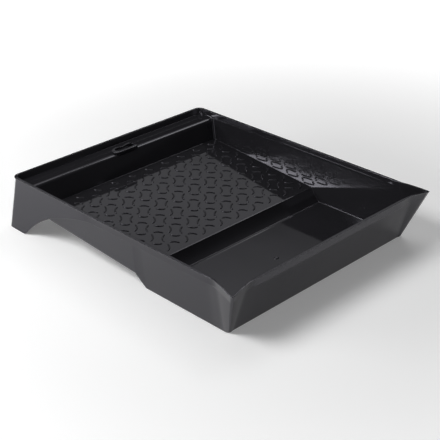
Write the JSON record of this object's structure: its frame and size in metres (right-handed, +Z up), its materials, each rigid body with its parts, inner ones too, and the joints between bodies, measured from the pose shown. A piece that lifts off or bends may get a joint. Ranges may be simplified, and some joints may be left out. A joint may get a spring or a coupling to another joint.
{
  "type": "paint roller tray",
  "caption": "Black plastic paint roller tray with a deep well, a ribbed sloping ramp, a rear shelf, pouring corners and rear legs.",
  "frame": {"origin": "on the ground, under the middle of the tray's bounding box", "axes": "+Z up, -Y from the ramp towards the deep well, +X to the right when looking along +Y"},
  "size_m": [0.3472, 0.3962, 0.0665],
  "materials": {
    "black_plastic": "gloss"
  },
  "bodies": {
    "root": {"well_floor": "black_plastic", "front_wall": "black_plastic", "right_well_wall": "black_plastic", "left_well_wall": "black_plastic", "right_ramp_wall": "black_plastic", "left_ramp_wall": "black_plastic", "ramp_step": "black_plastic", "ramp_plate": "black_plastic", "rear_wall": "black_plastic", "rear_shelf": "black_plastic", "hanging_lug": "black_plastic", "front_rim": "black_plastic", "right_rim": "black_plastic", "left_rim": "black_plastic", "rear_rim": "black_plastic", "right_spout": "black_plastic", "left_spout": "black_plastic", "right_leg": "black_plastic", "left_leg": "black_plastic"}
  },
  "joints": []
}
